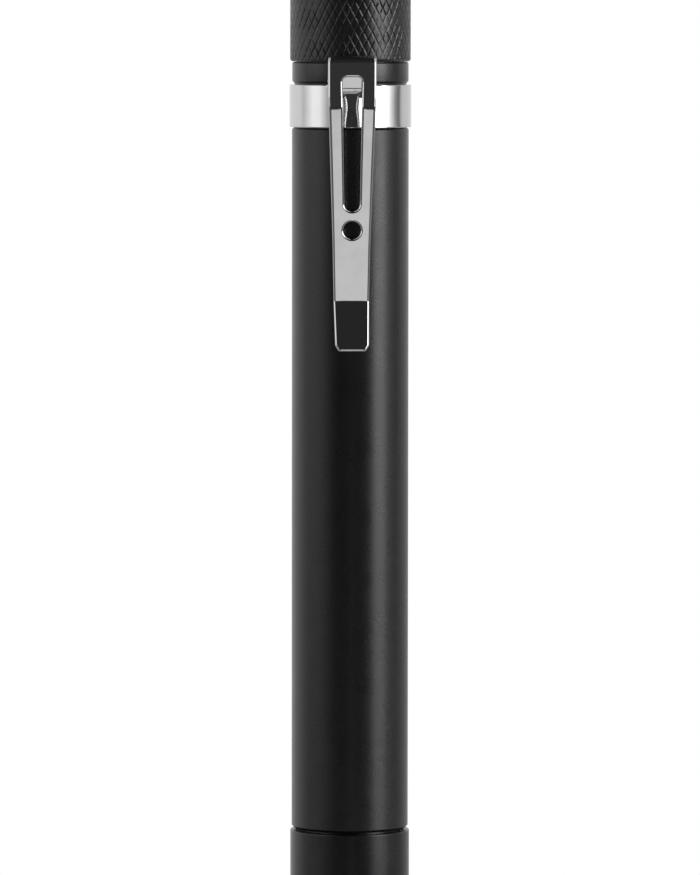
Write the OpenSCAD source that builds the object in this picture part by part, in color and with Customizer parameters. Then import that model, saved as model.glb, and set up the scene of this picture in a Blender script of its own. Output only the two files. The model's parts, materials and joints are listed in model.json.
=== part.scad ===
// Slim two-cell penlight with a push button at its tail and a spring clip beside the tail cap.
// It stands on the lamp head's rim: the axis is Z, the rim lies at Z = 0 and the clip faces -Y.

/* [Cells] */
// Diameter of a cell
cell_d = 10.5; // [9.5:0.1:12]
// Length of a cell with its nub
cell_len = 44.5; // [36:0.5:52]
// Diameter of a cell's nub
nub_d = 3.6; // [2.6:0.1:4.4]
// Height of a cell's nub
nub_h = 0.9; // [0.6:0.1:1.4]
// Rounding of a cell's rims
cell_rim = 0.4; // [0.2:0.1:0.8]
// Gap round a cell in the barrel
cell_play = 0.1; // [0.05:0.05:0.3]

/* [Barrel] */
// Wall of the barrel
barrel_wall = 1.25; // [1.05:0.05:1.8]
// Wall of both necks under their threads
neck_wall = 0.5; // [0.4:0.05:0.6]
// Length of the neck inside the tail cap
tail_neck_len = 6; // [5:0.5:9]
// Length of the neck inside the lamp head
head_neck_len = 7; // [5.5:0.1:10]
// Depth of the threads
thread_depth = 0.25; // [0.15:0.05:0.3]
// Pitch of the threads
thread_pitch = 1; // [0.8:0.1:1.2]
// Gap all round between a neck and what screws onto it
thread_play = 0.05; // [0.02:0.01:0.08]
// Width of the bevel at both edges of the barrel
barrel_bevel = 0.3; // [0.1:0.05:0.4]
// Thickness of the rubber rings on the necks
neck_seal = 0.5; // [0.4:0.05:0.55]
// Gap in the seam between barrel and lamp head
head_seam = 0.2; // [0.05:0.05:0.3]

/* [Clip] */
// Thickness of the clip's sheet
clip_t = 0.54; // [0.4:0.02:0.7]
// Height of the ring that holds the clip
ring_h = 4.92; // [3.5:0.02:7]
// Gap above and below the ring
ring_gap = 0.08; // [0.06:0.01:0.2]
// Gap all round between the ring and its seat
ring_play = 0.05; // [0.02:0.01:0.09]
// Step of the ring's seat over the thread
seat_step = 0.19; // [0.1:0.01:0.3]
// Width of the clip at its top
clip_w = 5.4; // [4.6:0.1:6.5]
// Width of the clip at its tip
clip_tip_w = 3.8; // [3.4:0.1:4.5]
// Length of the clip from the top of its fold to its tip
clip_len = 33.06; // [29:0.02:40]
// Height of the fold's top above the tail cap's lower edge
fold_over = 0.68; // [0.2:0.02:1]
// Inner radius of the fold
fold_r = 0.375; // [0.25:0.025:0.6]
// Gap between the fold and the tail cap
fold_gap = 0.19; // [0.1:0.01:0.4]
// Gap between the clip's neck and the collar
neck_gap = 0.13; // [0.08:0.01:0.3]
// Length of the upright stretch below the fold's top
upright_len = 5.77; // [4.5:0.01:7]
// Length of the flared tip
tip_len = 5.69; // [4:0.01:7]
// How far the tip flares outwards
tip_flare = 1.7; // [1:0.1:2.5]
// Size of the tip's cut corners
tip_corner = 0.5; // [0.3:0.05:0.8]
// Gap between the clip's knee and the barrel
knee_gap = 0.15; // [0.1:0.05:0.3]
// Distance of the slot below the fold's top
slot_drop = 2.4; // [1.6:0.02:3]
// Length of the slot
slot_len = 15.06; // [12:0.02:16]
// Width of the slot at its top
slot_top_w = 2.4; // [1.8:0.1:2.6]
// Width of the slot at its bottom
slot_foot_w = 1.9; // [1.5:0.1:2.2]
// Radius of the slot's upper corners
slot_corner = 0.7; // [0.4:0.05:0.85]
// Diameter of the round hole
eye_d = 2.2; // [1.6:0.1:2.5]
// Sheet left between the slot and the round hole
eye_gap = 0.92; // [0.6:0.02:1.5]

/* [Collar] */
// Wall of the collar that holds the clip's ring
collar_wall = 0.425; // [0.35:0.025:0.6]
// Height of the collar
collar_h = 2.31; // [1.8:0.01:4]
// Bevel of the collar's upper edge
collar_top_bevel = 0.12; // [0.05:0.01:0.2]
// Bevel of the collar's lower edge
collar_foot_bevel = 0.19; // [0.05:0.01:0.25]

/* [Tail cap] */
// Wall of the tail cap over its thread, up to the knurl's crests
cap_wall = 0.66; // [0.5:0.02:0.9]
// Depth of the knurl
knurl_depth = 0.2; // [0.1:0.02:0.25]
// Length of the knurled grip
knurl_len = 13.2; // [10:0.2:14.5]
// Gap in the seam between tail cap and collar
cap_seam = 0.07; // [0.03:0.01:0.3]
// Rounding of the cap's lower edge
cap_foot_round = 0.3; // [0.15:0.05:0.4]
// Bevel of the cap's upper edge
cap_top_bevel = 0.7; // [0.3:0.1:0.9]
// Thickness of the cap's end wall
cap_end = 1.2; // [0.9:0.1:2]
// Step between the cap's thread and its switch bay
bay_step = 0.65; // [0.5:0.05:0.9]
// Free space between the neck's end and the switch's ring
neck_end_gap = 0.35; // [0.2:0.05:0.8]

/* [Button and switch] */
// Diameter of the push button
button_d = 7.4; // [6.6:0.1:8]
// Gap all round the push button in the end wall
button_play = 0.08; // [0.04:0.01:0.09]
// Height of the push button over the end wall
button_proud = 2; // [1.7:0.1:3]
// Rounding of the push button's top edge
button_round = 0.8; // [0.4:0.1:1.2]
// Width of the push button's flange
button_flange = 1.2; // [0.8:0.1:1.4]
// Thickness of the push button's flange
flange_t = 0.9; // [0.6:0.1:1.2]
// Travel of the push button
button_travel = 1.6; // [1:0.1:1.6]
// Room left under the flange at full travel
travel_spare = 0.3; // [0.2:0.1:0.6]
// Gap over the flange at rest
flange_play = 0.1; // [0.05:0.05:0.2]
// Diameter of the socket inside the push button
socket_d = 5.4; // [5.1:0.1:5.7]
// Depth of the socket inside the push button
socket_depth = 2.6; // [2.2:0.1:2.8]
// Diameter of the switch's plunger
plunger_d = 2.8; // [2.2:0.1:3]
// Width of the plunger's flange
plunger_flange = 1; // [0.7:0.1:1.2]
// Thickness of the plunger's flange
plunger_flange_t = 0.8; // [0.5:0.1:1.2]
// Gap over the plunger's flange at rest
plunger_play = 0.4; // [0.3:0.1:0.6]
// Gap all round the plunger in the housing
plunger_fit = 0.08; // [0.04:0.01:0.1]
// Thickness of the contact that the plunger carries
moving_t = 0.3; // [0.2:0.05:0.5]
// Room left under that contact at full travel
contact_spare = 0.1; // [0.05:0.05:0.3]
// Thickness of the switch housing's top
housing_top = 1; // [0.7:0.1:1.5]
// Wall of the switch housing
housing_wall = 1.2; // [0.8:0.1:1.4]
// Thickness of the switch housing's foot
housing_foot = 0.9; // [0.6:0.1:1.2]
// Thickness of the plate under the switch
plate_t = 0.8; // [0.5:0.1:1.2]
// Height of the ring that holds the switch
switch_ring_h = 1.7; // [1.2:0.1:2.5]
// Width of the ring that holds the switch
switch_ring_w = 1.05; // [0.8:0.05:1.1]
// Width of the spanner notches
notch_w = 1; // [0.6:0.1:1.4]
// Depth of the spanner notches
notch_depth = 0.5; // [0.3:0.1:0.6]

/* [Springs] */
// Wire of the tail spring
tail_wire = 0.6; // [0.5:0.05:0.7]
// Length of the tail spring as fitted
tail_spring_len = 10.7; // [9.5:0.1:13]
// Diameter of the tail spring at the plate
tail_spring_d = 7.2; // [6.4:0.1:7.4]
// Diameter of the tail spring at the cell
tail_spring_foot_d = 4.8; // [4:0.1:5.4]
// Turns of the tail spring
tail_turns = 6; // [5:1:7]
// Wire of the button's spring
button_wire = 0.35; // [0.3:0.05:0.4]
// Diameter of the button's spring
button_spring_d = 4.3; // [4:0.1:4.5]
// Turns of the button's spring
button_turns = 4; // [3:1:4]

/* [Lamp head] */
// Wall of the lamp head over the neck
head_wall = 0.6; // [0.45:0.05:1]
// Wall of the lamp head round its mouth
mouth_wall = 0.75; // [0.6:0.05:0.9]
// Width of the shoulder under the reflector
shoulder_w = 0.4; // [0.3:0.05:0.5]
// Bevel of the head's front rim
rim_bevel = 0.3; // [0.1:0.05:0.4]
// Bevel of the head's upper edge
head_top_bevel = 0.15; // [0.1:0.05:0.3]
// Gap all round the parts inside the head
head_play = 0.05; // [0.02:0.01:0.1]
// Depth at which the lens's ring sits in the mouth
lens_ring_sink = 0.35; // [0.2:0.05:0.8]
// Height of the lens's ring
lens_ring_h = 1; // [0.8:0.1:1.5]
// Width of the lens's ring
lens_ring_w = 0.95; // [0.8:0.05:1.2]
// Thickness of the lens
lens_t = 1; // [0.8:0.1:1.5]
// Thickness of the lens's rubber ring
lens_seal = 0.7; // [0.5:0.1:0.9]
// Thickness of the reflector's flange
reflector_flange_t = 1.1; // [0.8:0.1:1.5]
// Depth of the reflector
reflector_depth = 7.75; // [6.5:0.25:9]
// Wall of the reflector
reflector_wall = 0.45; // [0.3:0.05:0.5]
// Width of the reflector's flange
reflector_flange = 0.95; // [0.85:0.05:1.1]
// Diameter of the reflector's hole
reflector_hole_d = 3.6; // [3.2:0.1:4]

/* [Light and driver] */
// Gap between the reflector and the light's base
led_gap = 0.5; // [0.3:0.05:0.8]
// Width of the light's square base
led_w = 3; // [2.6:0.1:3.4]
// Thickness of the light's base
led_h = 0.7; // [0.5:0.1:1]
// Diameter of the light's dome
dome_d = 2.4; // [2:0.1:2.6]
// Thickness of both circuit boards
board_t = 1; // [0.8:0.1:1.6]
// Gap round the light's board
board_play = 0.4; // [0.2:0.1:0.6]
// Thickness of the heat sink's floor
pill_floor = 1.2; // [0.9:0.1:2]
// Wall of the heat sink's skirt
pill_wall = 0.6; // [0.4:0.05:0.8]
// Height of the space for the driver's parts
driver_room = 1.7; // [1.5:0.1:2.5]
// Gap round the driver's board
driver_play = 0.1; // [0.05:0.05:0.2]
// Diameter of the two leads
lead_d = 0.6; // [0.4:0.05:0.7]
// Gap round the leads in their holes
lead_play = 0.15; // [0.1:0.05:0.2]
// Distance of the leads from the axis
lead_place = 3.6; // [3.2:0.1:3.9]
// Height of the front contact
contact_h = 2.3; // [2:0.1:3]
// Diameter of the front contact's post
post_d = 2.4; // [1.8:0.1:2.8]
// Width of the front contact's foot
contact_foot = 0.7; // [0.4:0.1:0.8]
// Thickness of the front contact's foot
contact_foot_t = 0.5; // [0.4:0.1:0.7]
// Thickness of the insulating ring
insulator_t = 0.8; // [0.5:0.1:1]
// Gap between the insulating ring and what it lies between
insulator_play = 0.15; // [0.1:0.05:0.3]
// Length of the largest part on the driver
chip_len = 2.6; // [1.8:0.1:2.8]
// Width of the largest part on the driver
chip_w = 1.9; // [1.4:0.1:2]
// Height of the largest part on the driver
chip_h = 0.9; // [0.6:0.1:1.2]
// Diameter of the coil on the driver
coil_d = 2.2; // [1.6:0.1:2.4]
// Height of the coil on the driver
coil_h = 1.3; // [0.9:0.1:1.4]
// Width of the smallest part on the driver
capacitor_w = 0.9; // [0.6:0.1:1.1]

/* [Hidden] */
$fn = 96;

// Overrun of every cut past the face that it leaves through
over = 0.5;

// Radii of the barrel and its necks
bore_r = cell_d / 2 + cell_play;
barrel_r = bore_r + barrel_wall;
root_r = bore_r + neck_wall;
crest_r = root_r + thread_depth;
screw_r = crest_r + thread_play;
seat_r = crest_r + seat_step;

// Radii of the clip's ring, the collar, the tail cap and the lamp head
ring_in_r = seat_r + ring_play;
ring_r = ring_in_r + clip_t;
collar_r = screw_r + collar_wall;
cap_r = screw_r + cap_wall;
cap_plain_r = cap_r - knurl_depth / 2;
bay_r = screw_r - bay_step;
head_r = screw_r + head_wall;
mouth_r = head_r - mouth_wall;
lamp_bore_r = mouth_r - shoulder_w;
driver_r = lamp_bore_r - head_play - pill_wall - driver_play;

// Heights from the rim up to the lamp head's upper edge
lens_z = lens_ring_sink + lens_ring_h;
seal_z = lens_z + lens_t;
reflector_z = seal_z + lens_seal;
shoulder_z = reflector_z + reflector_flange_t;
reflector_end_z = reflector_z + reflector_depth;
led_z = reflector_end_z + led_gap;
board_z = led_z + led_h;
pill_z = board_z + board_t;
driver_room_z = pill_z + pill_floor;
driver_z = driver_room_z + driver_room;
driver_end_z = driver_z + board_t;
head_neck_z = driver_end_z + head_seam;
barrel_z = head_neck_z + head_neck_len;
head_len = barrel_z - head_seam;

// Heights of the cells and the tail spring
cell_z = driver_end_z + contact_h;
cell_rear_z = cell_z + cell_len;
cells_end_z = cell_rear_z + cell_len;
plate_z = cells_end_z + tail_spring_len;

// Heights from the switch's ring down to the barrel's upper edge
switch_ring_z = plate_z - switch_ring_h;
neck_end_z = switch_ring_z - neck_end_gap;
cap_z = neck_end_z - tail_neck_len;
collar_end_z = cap_z - cap_seam;
collar_z = collar_end_z - collar_h;
ring_z = collar_z - ring_gap - ring_h;
barrel_end_z = ring_z - ring_gap;

// Heights from the switch up to the push button's top
housing_h = button_travel + contact_spare + moving_t + plunger_flange_t + plunger_play + housing_top;
housing_z = plate_z + plate_t;
housing_end_z = housing_z + housing_h;
moving_z = housing_z + button_travel + contact_spare;
plunger_z = moving_z + moving_t;
flange_z = housing_end_z + button_travel + travel_spare;
bay_end_z = flange_z + flange_t + flange_play;
cap_end_z = bay_end_z + cap_end;
button_end_z = cap_end_z + button_proud;
socket_end_z = flange_z + socket_depth;

// Room beside a rubber ring in its groove, as a share of the ring's thickness
seal_side_share = 0.1;
// Depth of the head's rubber ring below the head's edge, in the ring's thicknesses
head_seal_share = 1.5;
seal_side = neck_seal * seal_side_share;
tail_seal_z = cap_z + neck_seal;
head_seal_z = head_len - neck_seal * head_seal_share;

// The clip in side view: distances from the axis, then heights
clip_neck_in = collar_r + neck_gap;
clip_fold_in = cap_r + fold_gap;
fold_mid = clip_fold_in + clip_t + fold_r;
fold_top_z = cap_z + fold_over;
fold_mid_z = fold_top_z - fold_r - clip_t;
arm_out = fold_mid + fold_r + clip_t;
knee_out = barrel_r + knee_gap + clip_t;
upright_z = fold_top_z - upright_len;
tip_z = fold_top_z - clip_len;
knee_z = tip_z + tip_len;
ring_end_z = ring_z + ring_h;
slot_top_z = fold_top_z - slot_drop;
slot_foot_z = slot_top_z - slot_len;
eye_z = slot_foot_z - eye_gap - eye_d / 2;
// Half of the gap between the clip's two parts in the fold
fold_split = 0.01;

// Places round the axis of the parts on the driver, as shares of the board's radius
chip_place_share = 0.38;
coil_place_share = 0.48;
capacitor_place_share = 0.6;

// Where a thread's ridge starts and where its crest starts, as shares of the pitch
ridge_foot_share = 0.1;
ridge_crest_share = 0.35;
// Depth of the tail cap's thread, as a share of the neck's
cap_thread_share = 0.8;

// Segments of the reflector's curve and of the two rounded edges
reflector_steps = 14;
foot_steps = 4;
button_steps = 6;
// Rings of a spring for each turn, and sides of its wire
spring_rings = 8;
spring_sides = 6;

// A solid of revolution from [radius, height] points
module turned(points) {
    rotate_extrude()
        polygon(points);
}

// A ring of the given radii between two heights
module band(inner, outer, low, high) {
    turned([[inner, low], [outer, low], [outer, high], [inner, high]]);
}

// A rubber ring of round section that lies on the given radius
module seal_ring(inner, wire, middle_z) {
    translate([0, 0, middle_z])
        rotate_extrude()
            translate([inner + wire / 2, 0])
                circle(d = wire, $fn = 32);
}

// Outline points of thread ridges from one radius to another, from low to high
function ridges(from_r, to_r, low, high) = [
    for (i = [0 : floor((high - low) / thread_pitch) - 1])
        each [
            [from_r, low + (i + ridge_foot_share) * thread_pitch],
            [to_r, low + (i + ridge_crest_share) * thread_pitch],
            [to_r, low + (i + 1 - ridge_crest_share) * thread_pitch],
            [from_r, low + (i + 1 - ridge_foot_share) * thread_pitch],
        ]
];

// A list back to front
function reversed(list) = [for (i = [len(list) - 1 : -1 : 0]) list[i]];

// Outline points of a groove for a rubber ring in a neck
function seal_groove(middle_z) = [
    [crest_r, middle_z - neck_seal / 2 - seal_side],
    [crest_r - neck_seal, middle_z - neck_seal / 2 - seal_side],
    [crest_r - neck_seal, middle_z + neck_seal / 2 + seal_side],
    [crest_r, middle_z + neck_seal / 2 + seal_side],
];

// Centre line of a spring: straight for one wire's thickness at both ends, wound in between
function spring_path(low_r, high_r, length, wire, turns) =
    let (steps = turns * spring_rings)
    concat(
        [[low_r, 0, 0]],
        [
            for (i = [0 : steps])
                let (
                    share = i / steps,
                    r = low_r + (high_r - low_r) * share,
                    turn = 360 * i / spring_rings
                )
                [r * cos(turn), r * sin(turn), wire + (length - 2 * wire) * share]
        ],
        [[high_r, 0, length]]
    );

// Least distance between points of a path that lie half a turn or more apart, less the wire
function least_gap(path, wire) = min([
    for (i = [0 : len(path) - 1])
        for (k = [i + spring_rings / 2 : 1 : len(path) - 1])
            norm(path[i] - path[k])
]) - wire;

// A spring's wire as one tube along its path
module spring(path, wire) {
    last = len(path) - 1;
    points = [
        for (i = [0 : last])
            let (
                along = path[min(i + 1, last)] - path[max(i - 1, 0)],
                out = [path[i].x, path[i].y, 0] / norm([path[i].x, path[i].y]),
                side = cross(along, out) / norm(cross(along, out)),
                up = cross(side, along) / norm(along)
            )
            for (k = [0 : spring_sides - 1])
                let (turn = 360 * k / spring_sides)
                path[i] + wire / 2 * (cos(turn) * up + sin(turn) * side)
    ];
    walls = [
        for (i = [0 : last - 1])
            for (k = [0 : spring_sides - 1])
                let (
                    a = i * spring_sides + k,
                    b = i * spring_sides + (k + 1) % spring_sides
                )
                each [[a, b, b + spring_sides], [a, b + spring_sides, a + spring_sides]]
    ];
    first_cap = [for (k = [1 : spring_sides - 2]) [0, k + 1, k]];
    far = last * spring_sides;
    last_cap = [for (k = [1 : spring_sides - 2]) [far, far + k, far + k + 1]];
    polyhedron(points, concat(walls, first_cap, last_cap));
}

// Two spanner notches in the lower face of a ring
module spanner_notches(outer, low) {
    translate([-outer - over, -notch_w / 2, low - over])
        cube([2 * (outer + over), notch_w, notch_depth + over]);
}

// The tube with its two threaded necks, the clip's seat and the grooves for the rubber rings
module barrel() {
    tail_ridges_z = tail_seal_z + neck_seal;
    head_ridges_z = head_neck_z + thread_pitch / 2;
    color([0.09, 0.09, 0.095])
        turned(concat(
            [[bore_r, head_neck_z], [root_r, head_neck_z]],
            ridges(root_r, crest_r, head_ridges_z, head_seal_z - neck_seal),
            [[crest_r, head_seal_z - neck_seal]],
            seal_groove(head_seal_z),
            [
                [crest_r, barrel_z],
                [barrel_r - barrel_bevel, barrel_z],
                [barrel_r, barrel_z + barrel_bevel],
                [barrel_r, barrel_end_z - barrel_bevel],
                [barrel_r - barrel_bevel, barrel_end_z],
                [seat_r, barrel_end_z],
                [seat_r, collar_z],
                [crest_r, collar_z],
            ],
            seal_groove(tail_seal_z),
            [[crest_r, tail_ridges_z], [root_r, tail_ridges_z]],
            ridges(root_r, crest_r, tail_ridges_z, neck_end_z),
            [[root_r, neck_end_z], [bore_r, neck_end_z]]
        ));
}

// The screwed ring that keeps the clip on its seat
module retaining_collar() {
    color([0.09, 0.09, 0.095])
        turned([
            [screw_r, collar_z],
            [collar_r - collar_foot_bevel, collar_z],
            [collar_r, collar_z + collar_foot_bevel],
            [collar_r, collar_end_z - collar_top_bevel],
            [collar_r - collar_top_bevel, collar_end_z],
            [screw_r, collar_end_z],
        ]);
}

// A solid of the clip's width from a side view drawn in [distance from the axis, height]
module clip_side(width) {
    rotate([90, 0, -90])
        linear_extrude(width, center = true)
            children();
}

// One quarter of the fold, towards the barrel or away from it
module fold_quarter(away) {
    intersection() {
        translate([fold_mid, fold_mid_z])
            difference() {
                circle(r = fold_r + clip_t);
                circle(r = fold_r);
            }
        translate([away ? fold_mid + fold_split : 0, fold_mid_z])
            square([away ? arm_out : fold_mid - fold_split, fold_r + clip_t + over]);
    }
}

// The clip's ring, its neck and the inner half of the fold
module clip_band() {
    color([0.82, 0.82, 0.8]) {
        difference() {
            union() {
                band(ring_in_r, ring_r, ring_z, ring_end_z);
                clip_side(clip_w)
                    polygon([
                        [seat_r - clip_t, ring_end_z - clip_t],
                        [clip_neck_in, ring_end_z - clip_t],
                        [clip_neck_in + clip_t, ring_end_z],
                        [clip_fold_in + clip_t, fold_mid_z],
                        [clip_fold_in, fold_mid_z],
                        [clip_neck_in, ring_end_z],
                        [seat_r - clip_t, ring_end_z],
                    ]);
                clip_side(clip_w)
                    fold_quarter(false);
            }
            translate([0, 0, ring_z - over])
                cylinder(r = ring_in_r, h = ring_h + 2 * over);
        }
    }
}

// The clip's front view below the fold, drawn in [sideways, height]
module arm_outline() {
    polygon([
        [-clip_w / 2, fold_top_z + over],
        [clip_w / 2, fold_top_z + over],
        [clip_w / 2, upright_z],
        [clip_tip_w / 2, tip_z + tip_corner],
        [clip_tip_w / 2 - tip_corner, tip_z],
        [tip_corner - clip_tip_w / 2, tip_z],
        [-clip_tip_w / 2, tip_z + tip_corner],
        [-clip_w / 2, upright_z],
    ]);
}

// The tapered slot with its rounded ends, drawn in [sideways, height]
module slot_outline() {
    polygon([
        [slot_corner - slot_top_w / 2, slot_top_z],
        [slot_top_w / 2 - slot_corner, slot_top_z],
        [slot_top_w / 2, slot_top_z - slot_corner],
        [slot_foot_w / 2, slot_foot_z + slot_foot_w / 2],
        [-slot_foot_w / 2, slot_foot_z + slot_foot_w / 2],
        [-slot_top_w / 2, slot_top_z - slot_corner],
    ]);
    for (side = [-1, 1])
        translate([side * (slot_top_w / 2 - slot_corner), slot_top_z - slot_corner])
            circle(r = slot_corner);
    translate([0, slot_foot_z + slot_foot_w / 2])
        circle(d = slot_foot_w);
}

// The clip's spring arm: outer half of the fold, upright, sloping run and flared tip
module clip_arm() {
    arm_in = arm_out - clip_t;
    color([0.82, 0.82, 0.8])
        difference() {
            intersection() {
                union() {
                    clip_side(clip_w)
                        fold_quarter(true);
                    clip_side(clip_w)
                        polygon([
                            [arm_in, fold_mid_z],
                            [arm_out, fold_mid_z],
                            [arm_out, upright_z],
                            [knee_out, knee_z],
                            [knee_out + tip_flare, tip_z],
                            [knee_out - clip_t + tip_flare, tip_z],
                            [knee_out - clip_t, knee_z],
                            [arm_in, upright_z],
                        ]);
                }
                rotate([90, 0, 0])
                    linear_extrude(arm_out + tip_flare)
                        arm_outline();
            }
            rotate([90, 0, 0])
                linear_extrude(arm_out + tip_flare)
                    slot_outline();
            translate([0, 0, eye_z])
                rotate([90, 0, 0])
                    cylinder(d = eye_d, h = arm_out + tip_flare);
        }
}

// The knurled cap with its thread, switch bay and end wall
module tail_cap() {
    knurl_end_z = cap_z + knurl_len;
    ridges_z = tail_seal_z + neck_seal;
    rounding = [
        for (i = [0 : foot_steps])
            [
                cap_r - cap_foot_round * (1 - sin(90 * i / foot_steps)),
                cap_z + cap_foot_round * (1 - cos(90 * i / foot_steps)),
            ]
    ];
    color([0.07, 0.07, 0.07])
        turned(concat(
            [[screw_r, cap_z]],
            rounding,
            [
                [cap_r, knurl_end_z - knurl_depth],
                [cap_r - knurl_depth, knurl_end_z],
                [cap_plain_r, knurl_end_z + knurl_depth],
                [cap_plain_r, cap_end_z - cap_top_bevel],
                [cap_plain_r - cap_top_bevel, cap_end_z],
                [button_d / 2 + button_play, cap_end_z],
                [button_d / 2 + button_play, bay_end_z],
                [bay_r, bay_end_z],
                [bay_r, switch_ring_z],
                [screw_r, switch_ring_z],
            ],
            reversed(ridges(screw_r, screw_r + thread_depth * cap_thread_share, ridges_z, neck_end_z))
        ));
}

// The rubber button with its flange and socket
module push_button() {
    rounding = [
        for (i = [0 : button_steps])
            [
                button_d / 2 - button_round * (1 - cos(90 * i / button_steps)),
                button_end_z - button_round * (1 - sin(90 * i / button_steps)),
            ]
    ];
    color([0.05, 0.05, 0.05])
        turned(concat(
            [
                [socket_d / 2, flange_z],
                [button_d / 2 + button_flange, flange_z],
                [button_d / 2 + button_flange, flange_z + flange_t],
                [button_d / 2, flange_z + flange_t],
            ],
            rounding,
            [[0, button_end_z], [0, socket_end_z], [socket_d / 2, socket_end_z]]
        ));
}

// The plunger that the button pushes
module switch_plunger() {
    color([0.9, 0.9, 0.86])
        turned([
            [0, plunger_z],
            [plunger_d / 2 + plunger_flange, plunger_z],
            [plunger_d / 2 + plunger_flange, plunger_z + plunger_flange_t],
            [plunger_d / 2, plunger_z + plunger_flange_t],
            [plunger_d / 2, socket_end_z],
            [0, socket_end_z],
        ]);
}

// The brass disc under the plunger
module moving_contact() {
    color([0.78, 0.62, 0.3])
        translate([0, 0, moving_z])
            cylinder(r = plunger_d / 2 + plunger_flange, h = moving_t);
}

// The spring that returns the button
module switch_spring() {
    path = spring_path(
        button_spring_d / 2, button_spring_d / 2, socket_end_z - housing_end_z, button_wire, button_turns
    );
    echo("Least gap in the button's spring", least_gap(path, button_wire));
    color([0.75, 0.75, 0.76])
        translate([0, 0, housing_end_z])
            spring(path, button_wire);
}

// The switch's housing, closed below by the plate
module switch_housing() {
    room_r = plunger_d / 2 + plunger_flange + housing_top;
    wall_r = room_r + housing_wall;
    color([0.85, 0.83, 0.78])
        turned([
            [room_r, housing_z],
            [bay_r - head_play, housing_z],
            [bay_r - head_play, housing_z + housing_foot],
            [wall_r, housing_z + housing_foot],
            [wall_r, housing_end_z],
            [plunger_d / 2 + plunger_fit, housing_end_z],
            [plunger_d / 2 + plunger_fit, housing_end_z - housing_top],
            [room_r, housing_end_z - housing_top],
        ]);
}

// The brass plate between the tail spring and the switch
module contact_plate() {
    color([0.78, 0.62, 0.3])
        translate([0, 0, plate_z])
            cylinder(r = bay_r - head_play, h = plate_t);
}

// The notched ring that holds the switch in its bay
module switch_retainer() {
    outer = bay_r - head_play;
    color([0.7, 0.7, 0.7])
        difference() {
            band(outer - switch_ring_w, outer, switch_ring_z, plate_z);
            spanner_notches(outer, switch_ring_z);
        }
}

// The conical spring that presses on the cells
module tail_spring() {
    path = spring_path(
        tail_spring_foot_d / 2, tail_spring_d / 2, tail_spring_len, tail_wire, tail_turns
    );
    echo("Least gap in the tail spring", least_gap(path, tail_wire));
    color([0.8, 0.78, 0.7])
        translate([0, 0, cells_end_z])
            spring(path, tail_wire);
}

// The rubber ring under the tail cap
module tail_o_ring() {
    color([0.03, 0.03, 0.03])
        seal_ring(crest_r - neck_seal, neck_seal, tail_seal_z);
}

// A cell with its nub towards the lamp
module cell(low) {
    turned([
        [0, low],
        [nub_d / 2, low],
        [nub_d / 2, low + nub_h],
        [cell_d / 2 - cell_rim, low + nub_h],
        [cell_d / 2, low + nub_h + cell_rim],
        [cell_d / 2, low + cell_len - cell_rim],
        [cell_d / 2 - cell_rim, low + cell_len],
        [0, low + cell_len],
    ]);
}

// The cell next to the lamp
module battery_front() {
    color([0.55, 0.56, 0.58])
        cell(cell_z);
}

// The cell next to the tail spring
module battery_rear() {
    color([0.55, 0.56, 0.58])
        cell(cell_rear_z);
}

// The smooth lamp head, screwed onto the barrel's lower neck
module lamp_head() {
    color([0.08, 0.08, 0.085])
        turned([
            [mouth_r, 0],
            [head_r - rim_bevel, 0],
            [head_r, rim_bevel],
            [head_r, head_len - head_top_bevel],
            [head_r - head_top_bevel, head_len],
            [screw_r, head_len],
            [screw_r, driver_end_z],
            [lamp_bore_r, driver_end_z],
            [lamp_bore_r, shoulder_z],
            [mouth_r, shoulder_z],
        ]);
}

// The rubber ring inside the lamp head
module head_o_ring() {
    color([0.03, 0.03, 0.03])
        seal_ring(crest_r - neck_seal, neck_seal, head_seal_z);
}

// The notched ring that holds the lens
module lens_retainer() {
    outer = mouth_r - head_play;
    color([0.12, 0.12, 0.12])
        difference() {
            band(outer - lens_ring_w, outer, lens_ring_sink, lens_z);
            spanner_notches(outer, lens_ring_sink);
        }
}

// The glass in front of the reflector
module lens() {
    color([0.8, 0.9, 0.95, 0.4])
        translate([0, 0, lens_z])
            cylinder(r = mouth_r - head_play, h = lens_t);
}

// The rubber ring between lens and reflector
module lens_gasket() {
    color([0.03, 0.03, 0.03])
        seal_ring(mouth_r - head_play - lens_seal, lens_seal, seal_z + lens_seal / 2);
}

// The parabolic reflector with its flange on the head's shoulder
module reflector() {
    flange_r = mouth_r - head_play;
    wide = flange_r - reflector_flange;
    narrow = reflector_hole_d / 2;
    steepness = (wide * wide - narrow * narrow) / reflector_depth;
    cup = [
        for (i = [0 : reflector_steps])
            let (height = reflector_z + reflector_depth * i / reflector_steps)
            [sqrt(narrow * narrow + steepness * (reflector_end_z - height)), height]
    ];
    shell = [for (p = cup) if (p.y > shoulder_z) [p.x + reflector_wall, p.y]];
    color([0.9, 0.9, 0.92])
        turned(concat(
            cup,
            reversed(shell),
            [[shell[0].x, shoulder_z], [flange_r, shoulder_z], [flange_r, reflector_z]]
        ));
}

// The light: a square base with a clear dome towards the lens
module led_emitter() {
    color([0.95, 0.9, 0.6]) {
        translate([-led_w / 2, -led_w / 2, led_z])
            cube([led_w, led_w, led_h]);
        intersection() {
            translate([0, 0, led_z])
                sphere(d = dome_d);
            translate([-dome_d, -dome_d, led_z - dome_d])
                cube([2 * dome_d, 2 * dome_d, dome_d + led_h / 2]);
        }
    }
}

// Two upright rods of the leads' width, or of their holes'
module lead_pair(width, low, high) {
    for (side = [-1, 1])
        translate([side * lead_place, 0, low])
            cylinder(d = width, h = high - low, $fn = 24);
}

// The holes for the two leads
module lead_holes(low, high) {
    lead_pair(lead_d + 2 * lead_play, low - over, high + over);
}

// The board that carries the light
module led_board() {
    color([0.92, 0.92, 0.9])
        difference() {
            translate([0, 0, board_z])
                cylinder(r = lamp_bore_r - board_play, h = board_t);
            lead_holes(board_z, pill_z);
        }
}

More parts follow.
